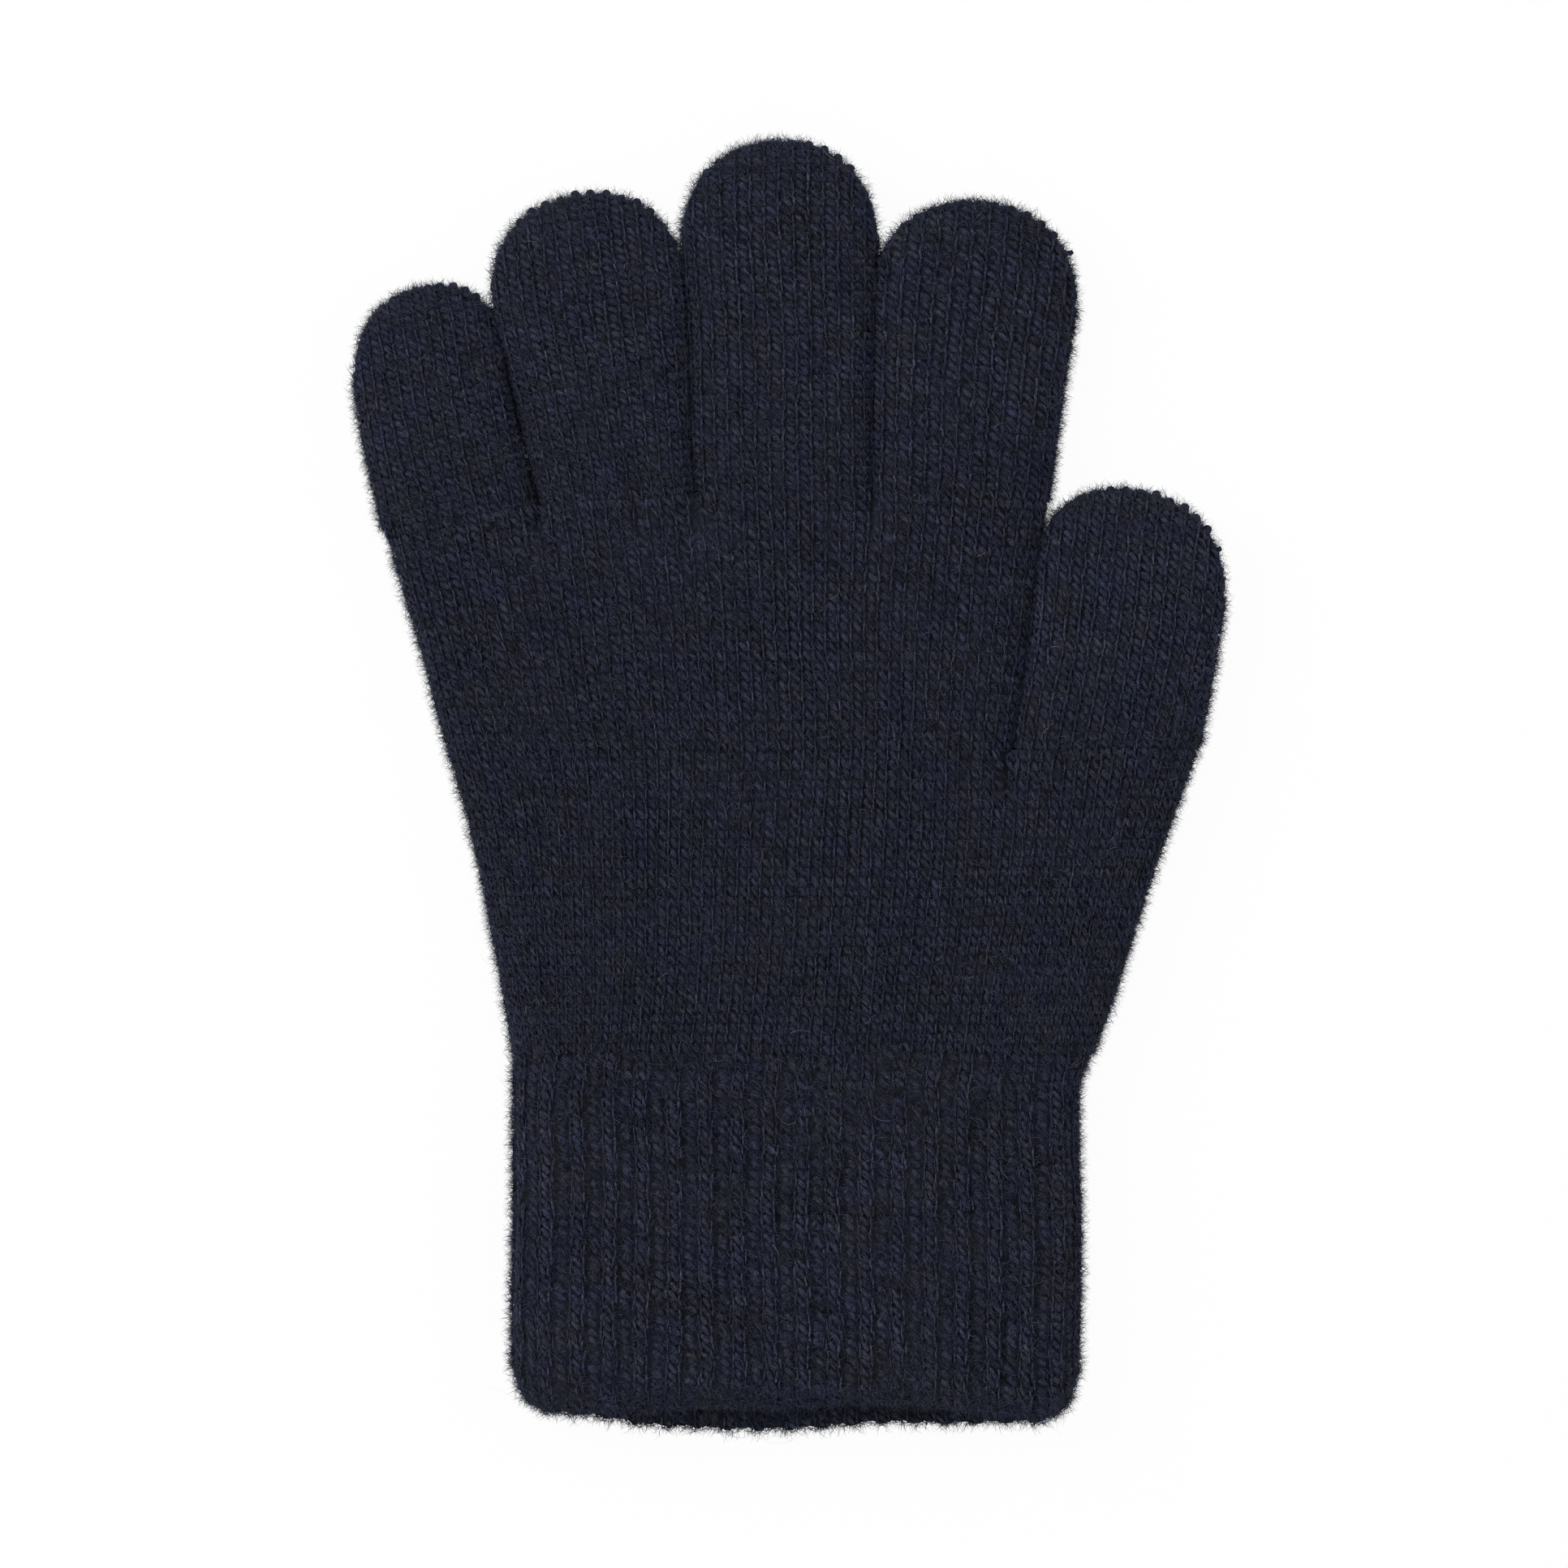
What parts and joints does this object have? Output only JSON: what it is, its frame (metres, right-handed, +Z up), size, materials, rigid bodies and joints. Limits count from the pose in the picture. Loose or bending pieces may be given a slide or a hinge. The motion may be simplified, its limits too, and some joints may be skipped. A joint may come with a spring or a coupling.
{
  "type": "knitted glove",
  "caption": "Flat-lying knitted child's glove with separate fingers, a thumb and a ribbed cuff; the fingers fold at the root and across the middle, and the hand folds at the wrist.",
  "frame": {"origin": "centre of the glove's bounding box on the surface it lies on", "axes": "+Y to the fingertips, +X to the thumb, +Z up out of the palm side"},
  "size_m": [0.1017, 0.1499, 0.011],
  "materials": {
    "knit": "navy plain knit in a soft two-ply yarn, slightly heathered and hairy",
    "rib": "the same navy yarn in one-by-one rib",
    "closing_yarn": "the same yarn, doubled where the knit is closed",
    "elastic": "covered elastic thread, undyed"
  },
  "bodies": {
    "hand": {"lower_palm": "knit", "upper_palm": "knit", "fork_stitches": "closing_yarn"},
    "cuff": {"rib_cuff": "rib", "cuff_welt": "rib", "cuff_elastic": "elastic"},
    "little_base": {"little_lower": "knit"},
    "little_end": {"little_upper": "knit", "little_tip_seam": "closing_yarn"},
    "ring_base": {"ring_lower": "knit"},
    "ring_end": {"ring_upper": "knit", "ring_tip_seam": "closing_yarn"},
    "middle_base": {"middle_lower": "knit"},
    "middle_end": {"middle_upper": "knit", "middle_tip_seam": "closing_yarn"},
    "index_base": {"index_lower": "knit"},
    "index_end": {"index_upper": "knit", "index_tip_seam": "closing_yarn"},
    "thumb_base": {"thumb_lower": "knit"},
    "thumb_end": {"thumb_upper": "knit", "thumb_tip_seam": "closing_yarn"}
  },
  "joints": [
    {"name": "wrist_fold", "type": "hinge", "parent": "hand", "child": "cuff", "pos_m": [0.0013, -0.03135, 0.009], "axis": [-1, 0, 0], "range_deg": [0, 75]},
    {"name": "little_root_fold", "type": "hinge", "parent": "hand", "child": "little_base", "pos_m": [-0.0376, 0.03073, 0.009], "axis": [1, 0, 0], "range_deg": [0, 75]},
    {"name": "little_middle_fold", "type": "hinge", "parent": "little_base", "child": "little_end", "pos_m": [-0.04065, 0.04234, 0.009], "axis": [0.967, 0.2546, 0], "range_deg": [0, 80]},
    {"name": "ring_root_fold", "type": "hinge", "parent": "hand", "child": "ring_base", "pos_m": [-0.0194, 0.03283, 0.009], "axis": [1, 0, 0], "range_deg": [0, 75]},
    {"name": "ring_middle_fold", "type": "hinge", "parent": "ring_base", "child": "ring_end", "pos_m": [-0.02178, 0.04865, 0.009], "axis": [0.9889, 0.1487, 0], "range_deg": [0, 80]},
    {"name": "middle_root_fold", "type": "hinge", "parent": "hand", "child": "middle_base", "pos_m": [0, 0.03369, 0.009], "axis": [1, 0, 0], "range_deg": [0, 75]},
    {"name": "middle_middle_fold", "type": "hinge", "parent": "middle_base", "child": "middle_end", "pos_m": [-0.00037, 0.05219, 0.009], "axis": [0.9998, 0.0201, 0], "range_deg": [0, 80]},
    {"name": "index_root_fold", "type": "hinge", "parent": "hand", "child": "index_base", "pos_m": [0.02005, 0.03319, 0.009], "axis": [1, 0, 0], "range_deg": [0, 75]},
    {"name": "index_middle_fold", "type": "hinge", "parent": "index_base", "child": "index_end", "pos_m": [0.02121, 0.04865, 0.009], "axis": [0.9972, -0.075, 0], "range_deg": [0, 80]},
    {"name": "thumb_root_fold", "type": "hinge", "parent": "hand", "child": "thumb_base", "pos_m": [0.03625, 0.004, 0.009], "axis": [1, 0, 0], "range_deg": [0, 45]},
    {"name": "thumb_middle_fold", "type": "hinge", "parent": "thumb_base", "child": "thumb_end", "pos_m": [0.03866, 0.01728, 0.009], "axis": [0.984, -0.1784, 0], "range_deg": [0, 60]}
  ]
}
